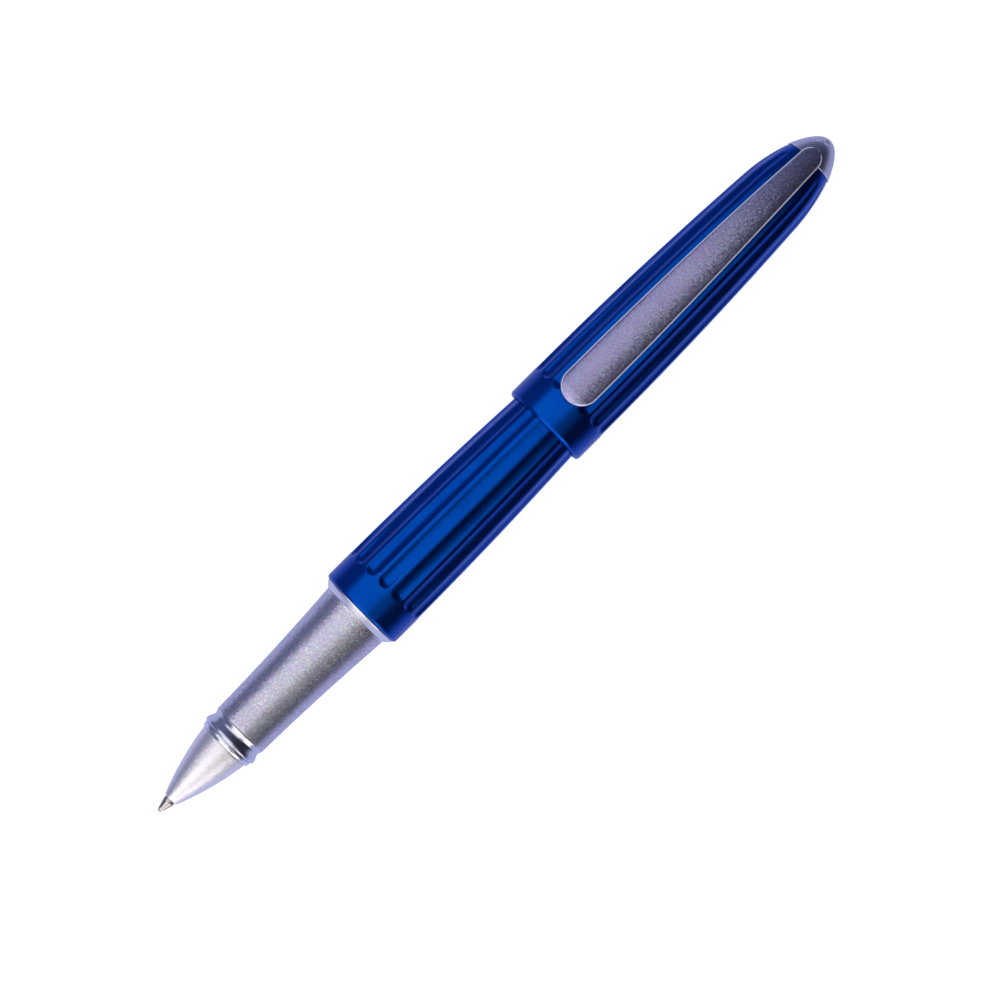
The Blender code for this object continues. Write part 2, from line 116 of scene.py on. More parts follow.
def makeTurningMarks():
    # rings left by the lathe: heights that only change along the pen
    group = newGroup("turningMarks",
                     [("Pitch mm", "NodeSocketFloat", 0.12), ("Variation", "NodeSocketFloat", 0.6)],
                     [("Height", "NodeSocketFloat"), ("Streak", "NodeSocketFloat")])
    start = addNode(group, "NodeGroupInput")
    end = addNode(group, "NodeGroupOutput")
    place = addNode(group, "ShaderNodeTexCoord")
    split = addNode(group, "ShaderNodeSeparateXYZ")
    group.links.new(place.outputs["Object"], split.inputs[0])
    inMm = mathNode(group, "MULTIPLY", split.outputs[0], 1 / mm)
    turns = mathNode(group, "DIVIDE", inMm, start.outputs["Pitch mm"])
    fine = addNode(group, "ShaderNodeTexNoise", noise_dimensions="1D")
    fine.inputs["Scale"].default_value = 1.0
    fine.inputs["Detail"].default_value = 3.0
    group.links.new(turns, fine.inputs["W"])
    slow = addNode(group, "ShaderNodeTexNoise", noise_dimensions="1D")
    slow.inputs["Scale"].default_value = 0.35
    group.links.new(inMm, slow.inputs["W"])
    wave = mathNode(group, "SINE", mathNode(group, "MULTIPLY", turns, tau))
    noisy = mathNode(group, "MULTIPLY", fine.outputs[0], start.outputs["Variation"])
    even = mathNode(group, "MULTIPLY", wave, 0.25)
    group.links.new(mathNode(group, "ADD", noisy, even), end.inputs["Height"])
    group.links.new(slow.outputs[0], end.inputs["Streak"])
    return group


def makeFineGrain():
    # small uneven grain and larger soft patches, for roughness and colour
    group = newGroup("fineGrain", [("Size mm", "NodeSocketFloat", 0.15)],
                     [("Grain", "NodeSocketFloat"), ("Patches", "NodeSocketFloat")])
    start = addNode(group, "NodeGroupInput")
    end = addNode(group, "NodeGroupOutput")
    place = addNode(group, "ShaderNodeTexCoord")
    scale = mathNode(group, "DIVIDE", 1 / mm, start.outputs["Size mm"])
    grain = addNode(group, "ShaderNodeTexNoise")
    grain.inputs["Detail"].default_value = 4.0
    group.links.new(place.outputs["Object"], grain.inputs["Vector"])
    group.links.new(scale, grain.inputs["Scale"])
    patches = addNode(group, "ShaderNodeTexNoise")
    patches.inputs["Scale"].default_value = 160.0
    patches.inputs["Detail"].default_value = 3.0
    group.links.new(place.outputs["Object"], patches.inputs["Vector"])
    group.links.new(grain.outputs[0], end.inputs["Grain"])
    group.links.new(patches.outputs[0], end.inputs["Patches"])
    return group


def makeEdgeSheenAndWear():
    # a lighter colour where the surface turns sharply outwards, broken into patches: partly rubbed wear,
    # partly painted edge highlight
    flatPointiness = 0.51
    group = newGroup("edgeSheenAndWear", [("Width", "NodeSocketFloat", 0.04)], [("WearAndSheen", "NodeSocketFloat")])
    start = addNode(group, "NodeGroupInput")
    end = addNode(group, "NodeGroupOutput")
    shape = addNode(group, "ShaderNodeNewGeometry")
    place = addNode(group, "ShaderNodeTexCoord")
    rub = addNode(group, "ShaderNodeTexNoise")
    rub.inputs["Scale"].default_value = 900.0
    group.links.new(place.outputs["Object"], rub.inputs["Vector"])
    above = mathNode(group, "SUBTRACT", shape.outputs["Pointiness"], flatPointiness)
    sharp = mathNode(group, "DIVIDE", above, start.outputs["Width"], clamp=True)
    group.links.new(mathNode(group, "MULTIPLY", sharp, rub.outputs[0], clamp=True), end.inputs["WearAndSheen"])
    return group


def makeBlastedGrain():
    # facets left by bead blasting: each cell leans its own way and has its own tint, and the brightest
    # cells are marked for a painted glint
    glintPower = 10.0  # higher leaves fewer bright facets
    group = newGroup("blastedGrain",
                     [("Size mm", "NodeSocketFloat", 0.13), ("Lean", "NodeSocketFloat", 0.25)],
                     [("Normal", "NodeSocketVector"), ("Cell", "NodeSocketColor"),
                      ("Glint", "NodeSocketFloat")])
    start = addNode(group, "NodeGroupInput")
    end = addNode(group, "NodeGroupOutput")
    place = addNode(group, "ShaderNodeTexCoord")
    scale = mathNode(group, "DIVIDE", 1 / mm, start.outputs["Size mm"])
    cells = addNode(group, "ShaderNodeTexVoronoi", feature="F1")
    group.links.new(place.outputs["Object"], cells.inputs["Vector"])
    group.links.new(scale, cells.inputs["Scale"])
    centred = addNode(group, "ShaderNodeVectorMath", operation="SUBTRACT")
    centred.inputs[1].default_value = (0.5, 0.5, 0.5)
    group.links.new(cells.outputs["Color"], centred.inputs[0])
    leaning = addNode(group, "ShaderNodeVectorMath", operation="SCALE")
    group.links.new(centred.outputs[0], leaning.inputs[0])
    group.links.new(start.outputs["Lean"], leaning.inputs["Scale"])
    shape = addNode(group, "ShaderNodeNewGeometry")
    added = addNode(group, "ShaderNodeVectorMath", operation="ADD")
    group.links.new(shape.outputs["Normal"], added.inputs[0])
    group.links.new(leaning.outputs[0], added.inputs[1])
    unit = addNode(group, "ShaderNodeVectorMath", operation="NORMALIZE")
    group.links.new(added.outputs[0], unit.inputs[0])
    channels = addNode(group, "ShaderNodeSeparateColor")
    group.links.new(cells.outputs["Color"], channels.inputs[0])
    group.links.new(unit.outputs[0], end.inputs["Normal"])
    group.links.new(cells.outputs["Color"], end.inputs["Cell"])
    group.links.new(mathNode(group, "POWER", channels.outputs[0], glintPower), end.inputs["Glint"])
    return group


turningMarks = makeTurningMarks()
fineGrain = makeFineGrain()
edgeSheenAndWear = makeEdgeSheenAndWear()
blastedGrain = makeBlastedGrain()


def useGroup(tree, group, **values):
    node = addNode(tree, "ShaderNodeGroup", node_tree=group)
    for key, value in values.items():
        node.inputs[key.replace("_", " ")].default_value = value
    return node


def newMaterial(name, roughness, metallic):
    mat = bpy.data.materials.new(name)
    mat.use_nodes = True
    shader = mat.node_tree.nodes["Principled BSDF"]
    shader.inputs["Roughness"].default_value = roughness
    shader.inputs["Metallic"].default_value = metallic
    return mat, mat.node_tree, shader


# mixes in the edge colour: painted edge highlight together with rubbed wear
def sheenAndWornColour(tree, shader, sheenAndWearNode, colour, wornAndSheen):
    tree.links.new(mixColour(tree, sheenAndWearNode.outputs["WearAndSheen"], colour, wornAndSheen), shader.inputs["Base Color"])


def unevenRoughness(tree, shader, grain, look):
    # the roughness swings evenly about the look's own value
    centred = mathNode(tree, "SUBTRACT", grain.outputs["Grain"], 0.5)
    swing = mathNode(tree, "MULTIPLY", centred, look["swing"])
    tree.links.new(mathNode(tree, "ADD", swing, look["roughness"], clamp=True), shader.inputs["Roughness"])


def bumpFrom(tree, height, depthMm, normal=None):
    bump = addNode(tree, "ShaderNodeBump")
    bump.inputs["Strength"].default_value = 1.0
    bump.inputs["Distance"].default_value = depthMm * mm
    tree.links.new(height, bump.inputs["Height"])
    if normal:
        tree.links.new(normal, bump.inputs["Normal"])
    return bump.outputs["Normal"]


def turnedMetal(name, look):
    # satin or polished metal straight from the lathe
    streakShare, patchShare = 0.6, 0.4
    mat, tree, shader = newMaterial(name, look["roughness"], look.get("metallic", 1.0))
    marks = useGroup(tree, turningMarks, Pitch_mm=look["pitch"])
    grain = useGroup(tree, fineGrain, Size_mm=look["grain"])
    sheenAndWearNode = useGroup(tree, edgeSheenAndWear)
    tone = mathNode(tree, "ADD", mathNode(tree, "MULTIPLY", marks.outputs["Streak"], streakShare),
                    mathNode(tree, "MULTIPLY", grain.outputs["Patches"], patchShare))
    sheenAndWornColour(tree, shader, sheenAndWearNode, mixColour(tree, tone, look["dark"], look["light"]), look["wornAndSheen"])
    unevenRoughness(tree, shader, grain, look)
    tree.links.new(bumpFrom(tree, marks.outputs["Height"], look["depth"]), shader.inputs["Normal"])
    return mat


def blueAnodised():
    look = {
        "deep": (0.0, 0.04, 0.28),
        "clear": (0.001, 0.085, 0.5),
        # the lighter blue along sharp edges is painted edge highlight as well as wear
        "wornAndSheen": (0.05, 0.16, 0.6),
        "sheenAndWearWidth": 0.08,
        "roughness": 0.27,
        "swing": 0.12,
        "grain": 0.1,
        "ripplePitch": 0.26,
        "rippleVariation": 1.0,
        "rippleDepth": 0.015,
        "turnedPitch": 0.09,
        "turnedDepth": 0.0009,
    }
    mat, tree, shader = newMaterial("blueAnodised", look["roughness"], 1.0)
    inFlute = addNode(tree, "ShaderNodeAttribute", attribute_name="flute").outputs["Fac"]
    marks = useGroup(tree, turningMarks, Pitch_mm=look["turnedPitch"])
    ripples = useGroup(tree, turningMarks, Pitch_mm=look["ripplePitch"], Variation=look["rippleVariation"])
    grain = useGroup(tree, fineGrain, Size_mm=look["grain"])
    sheenAndWearNode = useGroup(tree, edgeSheenAndWear, Width=look["sheenAndWearWidth"])
    colour = mixColour(tree, grain.outputs["Patches"], look["deep"], look["clear"])
    sheenAndWornColour(tree, shader, sheenAndWearNode, colour, look["wornAndSheen"])
    unevenRoughness(tree, shader, grain, look)
    inside = mathNode(tree, "MULTIPLY", ripples.outputs["Height"], inFlute)
    land = mathNode(tree, "SUBTRACT", 1.0, inFlute)
    outside = mathNode(tree, "MULTIPLY", marks.outputs["Height"], land)
    rippled = bumpFrom(tree, inside, look["rippleDepth"])
    tree.links.new(bumpFrom(tree, outside, look["turnedDepth"], rippled), shader.inputs["Normal"])
    return mat


def blastedSilver(name, look):
    # bead-blasted metal, where a few facets get a lighter, painted glint colour
    shared = {"swing": 0.16, "bump": 0.002, "grain": 0.12, "glintGain": 1.8}
    look = {**shared, **look}
    paintedGlintAndWornColour = tuple(min(channel * look["glintGain"], 1.0) for channel in look["light"])
    mat, tree, shader = newMaterial(name, look["roughness"], 1.0)
    cells = useGroup(tree, blastedGrain, Size_mm=look["size"], Lean=look["lean"])
    grain = useGroup(tree, fineGrain, Size_mm=look["grain"])
    sheenAndWearNode = useGroup(tree, edgeSheenAndWear)
    base = mixColour(tree, grain.outputs["Patches"], look["dark"], look["light"])
    tinted = mixColour(tree, look["tint"], base, cells.outputs["Cell"])
    # painted glint: the marked cells take the lighter colour, and sharp edges take it too as painted edge
    # highlight and wear
    sheenAndWornColour(tree, shader, sheenAndWearNode, mixColour(tree, cells.outputs["Glint"], tinted, paintedGlintAndWornColour), paintedGlintAndWornColour)
    unevenRoughness(tree, shader, grain, look)
    normal = bumpFrom(tree, grain.outputs["Grain"], look["bump"], cells.outputs["Normal"])
    tree.links.new(normal, shader.inputs["Normal"])
    return mat


def mouldedPlastic(name, colour, roughness):
    look = {"roughness": roughness, "swing": 0.2, "grain": 0.2, "bump": 0.004, "gain": 1.25, "lift": 0.01}
    mat, tree, shader = newMaterial(name, roughness, 0.0)
    grain = useGroup(tree, fineGrain, Size_mm=look["grain"])
    light = tuple(min(channel * look["gain"] + look["lift"], 1.0) for channel in colour)
    tree.links.new(mixColour(tree, grain.outputs["Patches"], colour, light), shader.inputs["Base Color"])
    unevenRoughness(tree, shader, grain, look)
    tree.links.new(bumpFrom(tree, grain.outputs["Grain"], look["bump"]), shader.inputs["Normal"])
    return mat


print("materials")
anodised = blueAnodised()
blasted = blastedSilver("blastedSilver", {
    "roughness": 0.32, "size": 0.14, "lean": 0.16, "tint": 0.26,
    "dark": (0.53, 0.475, 0.6), "light": (0.6, 0.54, 0.68)})
# the clip's copy of the blasted metal is darker and bluer than the grip's: painted shade
blastedClip = blastedSilver("blastedClip", {
    "roughness": 0.32, "size": 0.13, "lean": 0.22, "tint": 0.18,
    "dark": (0.29, 0.245, 0.44), "light": (0.37, 0.315, 0.54)})
# the nose's copy of the blasted metal is near white, far lighter than the grip's: painted light
blastedNose = blastedSilver("blastedNose", {
    "roughness": 0.42, "size": 0.15, "lean": 0.16, "tint": 0.12,
    "dark": (0.86, 0.79, 0.82), "light": (0.94, 0.87, 0.9)})
# satinSilver is a darker copy of brightSatin's silver, used for the crown and end plug: painted shade on
# the crown
satin = turnedMetal("satinSilver", {
    "roughness": 0.3, "swing": 0.12, "pitch": 0.06, "grain": 0.08, "depth": 0.0008,
    "dark": (0.46, 0.45, 0.56), "light": (0.56, 0.55, 0.66), "wornAndSheen": (0.9, 0.9, 0.93)})
brightSatin = turnedMetal("brightSatin", {
    "roughness": 0.3, "swing": 0.12, "pitch": 0.06, "grain": 0.08, "depth": 0.0008,
    "dark": (0.72, 0.7, 0.76), "light": (0.82, 0.8, 0.86), "wornAndSheen": (0.92, 0.92, 0.95)})
polished = turnedMetal("polishedChrome", {
    "roughness": 0.22, "swing": 0.06, "pitch": 0.1, "grain": 0.2, "depth": 0.0003,
    "dark": (0.58, 0.57, 0.67), "light": (0.7, 0.69, 0.78), "wornAndSheen": (0.9, 0.9, 0.93)})
# the clip's polished chamfer, near white and part diffuse so that it stays bright under any light: painted
# highlight
clipEdge = turnedMetal("clipEdgePolishPaintedHighlight", {
    "roughness": 0.3, "metallic": 0.4, "swing": 0.08, "pitch": 0.3, "grain": 0.1, "depth": 0.0003,
    "dark": (0.88, 0.85, 0.93), "light": (0.95, 0.92, 0.98), "wornAndSheen": (0.97, 0.97, 1.0)})
tipSteel = turnedMetal("tipSteel", {
    "roughness": 0.2, "swing": 0.1, "pitch": 0.05, "grain": 0.05, "depth": 0.0008,
    "dark": (0.42, 0.38, 0.33), "light": (0.62, 0.58, 0.52), "wornAndSheen": (0.8, 0.77, 0.72)})
carbide = turnedMetal("ballCarbide", {
    "roughness": 0.14, "swing": 0.1, "pitch": 0.03, "grain": 0.04, "depth": 0.0002,
    "dark": (0.3, 0.3, 0.32), "light": (0.45, 0.45, 0.47), "wornAndSheen": (0.6, 0.6, 0.62)})
springSteel = turnedMetal("springSteel", {
    "roughness": 0.25, "swing": 0.15, "pitch": 0.1, "grain": 0.1, "depth": 0.001,
    "dark": (0.42, 0.42, 0.44), "light": (0.6, 0.6, 0.62), "wornAndSheen": (0.75, 0.75, 0.77)})
brass = turnedMetal("turnedBrass", {
    "roughness": 0.28, "swing": 0.15, "pitch": 0.08, "grain": 0.1, "depth": 0.001,
    "dark": (0.55, 0.36, 0.13), "light": (0.78, 0.57, 0.26), "wornAndSheen": (0.9, 0.72, 0.4)})
linerPlastic = mouldedPlastic("linerPlastic", (0.02, 0.02, 0.023), 0.45)
refillPlastic = mouldedPlastic("refillPlastic", (0.62, 0.63, 0.65), 0.35)
inkFelt = mouldedPlastic("inkFelt", (0.01, 0.03, 0.2), 0.9)
darkEnamel = mouldedPlastic("darkEnamel", (0.006, 0.012, 0.05), 0.18)


def finishPiece(bm, name, mats, body, nodes, sharpDegrees=32):
    mesh = bpy.data.meshes.new(name)
    bm.to_mesh(mesh)
    bm.free()
    mesh.shade_smooth()
    mesh.set_sharp_from_angle(angle=radians(sharpDegrees))
    piece = bpy.data.objects.new(name, mesh)
    bpy.context.scene.collection.objects.link(piece)
    for mat in mats:
        mesh.materials.append(mat)
    if body:
        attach(piece, body)
    if nodes:
        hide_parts(*nodes)
    return piece


def spun(outline, steps, closed=True):
    # turns an outline of (station, radius) points around the pen's axis
    bm = bmesh.new()
    verts = [bm.verts.new(penPoint(x, 0.0, r)) for x, r in outline]
    pairs = list(zip(verts, verts[1:]))
    if closed:
        pairs.append((verts[-1], verts[0]))
    edges = [bm.edges.new(pair) for pair in pairs]
    bmesh.ops.spin(bm, geom=verts + edges, cent=penPoint(0.0), axis=(1.0, 0.0, 0.0), angle=tau, steps=steps,
                   use_merge=True)
    bmesh.ops.remove_doubles(bm, verts=bm.verts, dist=0.0000005)
    bmesh.ops.recalc_face_normals(bm, faces=bm.faces)
    return bm


def rounded(corner, before, after, radius, steps=4):
    # points that round one corner of an outline
    corner, before, after = Vector(corner), Vector(before), Vector(after)
    start = corner + (before - corner).normalized() * radius
    end = corner + (after - corner).normalized() * radius
    points = []
    for i in range(steps + 1):
        t = i / steps
        point = start * (1 - t) ** 2 + corner * 2 * t * (1 - t) + end * t * t
        points.append((point.x, point.y))
    return points


def softOutline(points, closed=True):
    # an outline given as (station, radius, rounding) corners
    count = len(points)
    outline = []
    for i, (x, r, soft) in enumerate(points):
        inside = closed or 0 < i < count - 1
        if soft and inside:
            before = points[(i - 1) % count][:2]
            after = points[(i + 1) % count][:2]
            outline += rounded((x, r), before, after, soft)
        else:
            outline.append((x, r))
    return outline


fluteLook = {
    "count": 16,
    "halfWidth": 1.2,      # at the full body radius
    "narrowing": 1.9,      # how fast the flutes narrow as the body tapers
    "softness": 0.03,
    "endCutter": 1.75,     # both ends are cut deeper
    "endReach": 10.0,
    "columns": 24,
    "endRows": (0.0, 1.6, 13),  # closer rows at both ends
    "margin": 0.15,        # from the flute's end to the next row
    "edgeFade": 0.15,      # how far in from the edge the ripples reach full strength
    "search": 0.5,
    "skin": 0.02,          # anything deeper belongs to the bore
}


def fluteHalfWidth(radius):
    return fluteLook["halfWidth"] * (radius / bodyRadius) ** fluteLook["narrowing"]


def fluteDepth(x, aside, radius, first, last, cutter):
    # depth cut by a ball-nosed cutter whose track is rounded at both ends
    half = fluteHalfWidth(radius)
    before = max(first + half - x, x - (last - half), 0.0)
    reach = hypot(before, aside)
    inside = max(min(x - first, last - x) - half, 0.0)
    deeper = max(1 - inside / fluteLook["endReach"], 0.0)
    cutter += (fluteLook["endCutter"] - cutter) * deeper
    offset = sqrt(cutter * cutter - half * half)
    if reach < cutter:
        cut = sqrt(cutter * cutter - reach * reach) - offset
    else:
        cut = -offset - (reach - cutter)
    soft = fluteLook["softness"]
    depth = 0.5 * (cut + sqrt(cut * cut + soft * soft))
    mask = max(min((half - reach) / fluteLook["edgeFade"], 1.0), 0.0)
    return depth, mask


def fluteRings(first, last, gap):
    ends = spread(*fluteLook["endRows"])
    near = [first - fluteLook["margin"]] + [first + e for e in ends]
    far = [last - e for e in reversed(ends)] + [last + fluteLook["margin"]]
    count = int((far[0] - near[-1]) / gap) + 1
    return near + spread(near[-1], far[0], count)[1:-1] + far


def fluteShell(outline, outerCount, radiusAt, look):
    # the first outerCount points of the outline lie on the fluted outer side
    perTurn = fluteLook["count"] * fluteLook["columns"]
    bm = spun(outline, perTurn)
    layer = bm.verts.layers.float.new("flute")
    pitch = tau / fluteLook["count"]
    first, last = look["first"], look["last"]
    search, skin = fluteLook["search"], fluteLook["skin"]
    for v in bm.verts:
        x = station(v.co.x)
        across, up = (v.co.y - axisY) / mm, (v.co.z - axisZ) / mm
        radius = hypot(across, up)
        if not first - search < x < last + search or radius < radiusAt(x) - skin:
            continue
        angle = atan2(across, up)
        aside = (angle - pitch * round(angle / pitch)) * radius
        depth, mask = fluteDepth(x, aside, radius, first, last, look["cutter"])
        v[layer] = mask
        shrink = (radius - depth) / radius
        v.co.y = axisY + across * shrink * mm
        v.co.z = axisZ + up * shrink * mm
    return bm


print("barrel")
barrelLook = {
    "front": 44.9, "shoulder": 7.18, "shoulderRound": 0.06,
    "edge": 45.2, "edgeRound": 0.22,
    "plainRows": (46.0, 49.0, 4),
    "taperStart": 48.0, "taper": 1424.0,   # the radius falls by the square of the distance over this
    "first": 49.9, "last": 116.0, "cutter": 2.3, "rowGap": 1.6,
    "tailRow": 117.5, "tail": 119.4, "tailRound": 0.2, "tailDrop": 0.15,
    "bore": ((119.4, 3.4), (104.0, 3.4), (84.0, 5.0), (54.1, 5.2), (54.0, 5.95), (44.9, 5.95)),
}


def barrelRadius(x):
    return bodyRadius - max(x - barrelLook["taperStart"], 0.0) ** 2 / barrelLook["taper"]


def makeBarrel():
    b = barrelLook
    outer = softOutline([(*b["bore"][-1], 0.0), (b["front"], b["shoulder"], b["shoulderRound"]),
                         (b["edge"], bodyRadius, b["edgeRound"]), (b["taperStart"], bodyRadius, 0.0)],
                        False)[1:-1]
    outer += [(x, bodyRadius) for x in spread(*b["plainRows"])]
    outer += [(x, barrelRadius(x)) for x in fluteRings(b["first"], b["last"], b["rowGap"])]
    outer += [(x, barrelRadius(x)) for x in (b["tailRow"], b["tail"] - b["tailRound"])]
    outer += [(b["tail"], barrelRadius(b["tail"]) - b["tailDrop"])]
    bm = fluteShell(outer + list(b["bore"]), len(outer), barrelRadius, b)
    finishPiece(bm, "barrelBody", [anodised], "barrel", ["barrel_shell"], 40)


makeBarrel()

print("cap")
capLook = {
    "lip": 85.84, "lipDrop": 0.23, "lipWidth": 0.42, "lipRound": 0.06,
    "mouth": 6.9, "mouthRound": 0.08, "bandRound": 0.08,
    "plainRows": (86.6, 90.6, 5),
    "taperStart": 92.0, "taper": 1382.0,
    "domeStart": 137.0, "domeLength": 13.4,
    "first": 91.1, "last": 143.8, "cutter": 1.85, "rowGap": 1.3,
    "endRows": (144.4, 144.8, 145.1), "end": 145.3, "endRound": 0.04, "endDrop": 0.06,
    "bore": ((145.3, 3.75), (139.4, 3.75), (138.6, 4.85), (120.0, 5.8), (91.4, 6.35), (90.8, 6.6),
             (86.74, 6.6)),
}


def capRadius(x):
    c = capLook
    dome = max(x - c["domeStart"], 0.0) / c["domeLength"]
    return (bodyRadius - max(x - c["taperStart"], 0.0) ** 2 / c["taper"]) * sqrt(1 - dome * dome)


def makeCap():
    c = capLook
    outer = softOutline([(*c["bore"][-1], 0.0), (c["lip"], c["mouth"], c["mouthRound"]),
                         (c["lip"], bodyRadius - c["lipDrop"], c["lipRound"]),
                         (c["lip"] + c["lipWidth"], bodyRadius, c["bandRound"]),
                         (c["first"], bodyRadius, 0.0)], False)[1:-1]
    outer += [(x, bodyRadius) for x in spread(*c["plainRows"])]
    outer += [(x, capRadius(x)) for x in fluteRings(c["first"], c["last"], c["rowGap"])]
    outer += [(x, capRadius(x)) for x in c["endRows"]]
    endRadius = capRadius(c["end"])
    outer += [(c["end"] - c["endRound"], endRadius), (c["end"], endRadius - c["endDrop"])]
    bm = fluteShell(outer + list(c["bore"]), len(outer), capRadius, c)
    finishPiece(bm, "capBody", [anodised], "cap", ["cap_shell"], 40)


makeCap()

print("crown")
crownLook = {
    "start": 145.32, "end": 150.4,
    "fullness": 2.0, "flattening": 0.004,
    "startRound": 0.05, "startDrop": 0.06,
    "rows": 48,
    "bore": ((145.32, 1.4), (148.0, 1.4), (148.3, 0.0)),
    "inlay": 150.22, "pocket": 149.75, "pocketGap": 0.18, "rimRound": 0.02, "rimGap": 0.14,
    "dimple": 149.42, "dimpleRadius": 0.52, "dimpleDepth": 0.09, "dimpleRamp": 0.2,
    "dimpleInward": (-0.72, 0.0, -0.69),
}


def crownRadius(x):
    left = crownLook["end"] - x
    return crownLook["fullness"] * sqrt(left) * (1 - crownLook["flattening"] * left)


def crownDrop(radius):
    # how far from the end the dome reaches a radius
    share = radius / crownLook["fullness"]
    left = share ** 2
    for _ in range(4):
        left = (share / (1 - crownLook["flattening"] * left)) ** 2
    return left


def makeCrown():
    c = crownLook
    rim = crownRadius(c["inlay"])
    wall = rim - c["pocketGap"]
    outline = [(c["pocket"], 0.0), (c["pocket"], wall), (c["inlay"] - c["rimRound"], wall),
               (c["inlay"], rim - c["rimGap"])]
    heights = spread(rim, crownRadius(c["start"] + c["startRound"]), c["rows"])
    outline += [(c["end"] - crownDrop(r), r) for r in heights]
    outline += [(c["start"], crownRadius(c["start"]) - c["startDrop"]), *c["bore"]]
    bm = spun(outline, 160, False)
    middle = penPoint(c["dimple"], 0.0, crownRadius(c["dimple"]))
    inward = Vector(c["dimpleInward"])
    nearby = 2 * mm  # the same side of the crown as the dimple
    for v in bm.verts:
        off = v.co - middle
        flat = (off - inward * off.dot(inward)).length / mm
        if flat < c["dimpleRadius"] and off.length < nearby:
            part = min((c["dimpleRadius"] - flat) / c["dimpleRamp"], 1.0)
            part = part * part * (3 - 2 * part)
            v.co += inward * c["dimpleDepth"] * part * mm
    finishPiece(bm, "crownDome", [satin], "cap", ["crown"])


makeCrown()

inlayLook = {"base": 149.85, "rim": 150.2, "rise": 0.19, "gap": 0.22, "rows": 10}


def makeInlay():
    i = inlayLook
    edge = crownRadius(crownLook["inlay"]) - i["gap"]
    outline = [(i["base"], 0.0), (i["base"], edge)]
    outline += [(i["rim"] + i["rise"] * sin(a), edge * cos(a)) for a in spread(0.0, pi / 2, i["rows"])]
    outline[-1] = (outline[-1][0], 0.0)
    bm = spun(outline, 64, False)
    finishPiece(bm, "crownInlay", [darkEnamel], "cap", ["crown_inlay"])


makeInlay()

print("grip and rings")
noseLook = {
    "front": 2.7, "frontRadius": 1.28, "slope": 0.394, "bow": 0.0108,
    "mouth": ((2.72, 1.13), (2.7, 1.2)),
    "rows": (2.78, 14.5, 40),
    "rearRow": 14.6, "rearEdge": ((14.62, 0.02), (14.64, 0.1)),  # stations and how far in
    "tenon": ((14.64, 3.9), (21.0, 3.9)),
    "bore": ((21.0, 3.35), (13.6, 3.35), (12.2, 2.1), (7.1, 2.1), (6.5, 1.13)),
}
snapLook = {
    "front": ((14.72, 4.1), (14.72, 4.72), (14.76, 4.77), (15.35, 4.86), (15.42, 4.84), (15.46, 4.72),
              (15.54, 4.72)),
    "bead": (15.9, 4.86), "beadSize": (0.34, 0.31), "beadRows": (0.25, pi / 2, 9),
    "grooveEnd": 18.15, "grooveRows": 18, "grooveDepth": 0.5,
    "grooveTurn": 0.7, "rearRise": 0.3,     # the share of the groove where its wall rises again
    "rear": ((18.22, 4.98), (18.28, 4.95), (18.3, 4.9), (18.3, 4.1)),
}
gripLook = {
    "front": 18.4, "frontRadius": 4.95, "flare": 1.11, "length": 25.3, "curve": 1.6,
    "frontEdge": ((18.33, 4.45), (18.33, 4.89), (18.38, 4.94)),
    "rows": (18.6, 43.5, 60),
    "rearRow": 43.6, "rearEdge": ((43.69, 0.01), (43.73, 0.06)),
    "bore": (43.73, 4.45),
}
ballRadius = 0.35


def noseRadius(x):
    n = noseLook
    u = x - n["front"]
    return n["frontRadius"] + n["slope"] * u - n["bow"] * u * u


def makeNose():
    n = noseLook
    rear = noseRadius(n["rearRow"])
    outline = list(n["mouth"])
    outline += [(x, noseRadius(x)) for x in spread(*n["rows"])]
    outline += [(x, rear - drop) for x, drop in n["rearEdge"]]
    outline += [*n["tenon"], *n["bore"]]
    finishPiece(spun(outline, 128), "noseCone", [blastedNose], "section", ["nose_cone"])


def makeSnapRing():
    s = snapLook
    middle, base = s["bead"]
    length, height = s["beadSize"]
    outline = list(s["front"])
    outline += [(middle - length * cos(a), base + height * sin(a)) for a in spread(*s["beadRows"])]
    for i in range(1, s["grooveRows"] + 1):
        t = i / s["grooveRows"]
        drop = s["grooveDepth"] * sin(pi * min(t / s["grooveTurn"], 1.0) / 2) ** 2
        rise = s["rearRise"] * max(t - s["grooveTurn"], 0.0) / (1 - s["grooveTurn"])
        outline.append((middle + (s["grooveEnd"] - middle) * t, base + height - drop + rise))
    outline += s["rear"]
    finishPiece(spun(outline, 128), "snapRing", [polished], "section", ["snap_ring"], 50)


def gripRadius(x):
    g = gripLook
    return g["frontRadius"] + g["flare"] * max((x - g["front"]) / g["length"], 0.0) ** g["curve"]


def makeGrip():
    g = gripLook
    rear = gripRadius(g["rearRow"])
    outline = list(g["frontEdge"])
    outline += [(x, gripRadius(x)) for x in spread(*g["rows"])]
    outline += [(x, rear - drop) for x, drop in g["rearEdge"]]
    outline.append(g["bore"])
    finishPiece(spun(outline, 128), "gripSleeve", [blasted], "section", ["grip_sleeve"])


def makeTrimRing():
    outline = softOutline([(44.86, 4.45, 0.0), (43.75, 4.45, 0.0), (43.75, 6.12, 0.05), (44.62, 6.98, 0.1),
                           (44.86, 7.02, 0.05)])
    finishPiece(spun(outline, 160), "trimRing", [brightSatin], "section", ["rear_trim_ring"])


def makeRefillTip():
    outline = softOutline([(10.5, 0.42, 0.0), (1.2, 0.42, 0.0), (0.75, 0.28, 0.0), (0.5, 0.4, 0.0),
                           (0.36, 0.42, 0.0), (0.38, 0.47, 0.0), (0.75, 0.56, 0.08), (2.15, 1.0, 0.15),
                           (2.7, 1.02, 0.0), (10.5, 1.02, 0.0)])
    finishPiece(spun(outline, 64), "refillTip", [tipSteel], "refill", ["refill_tip"])


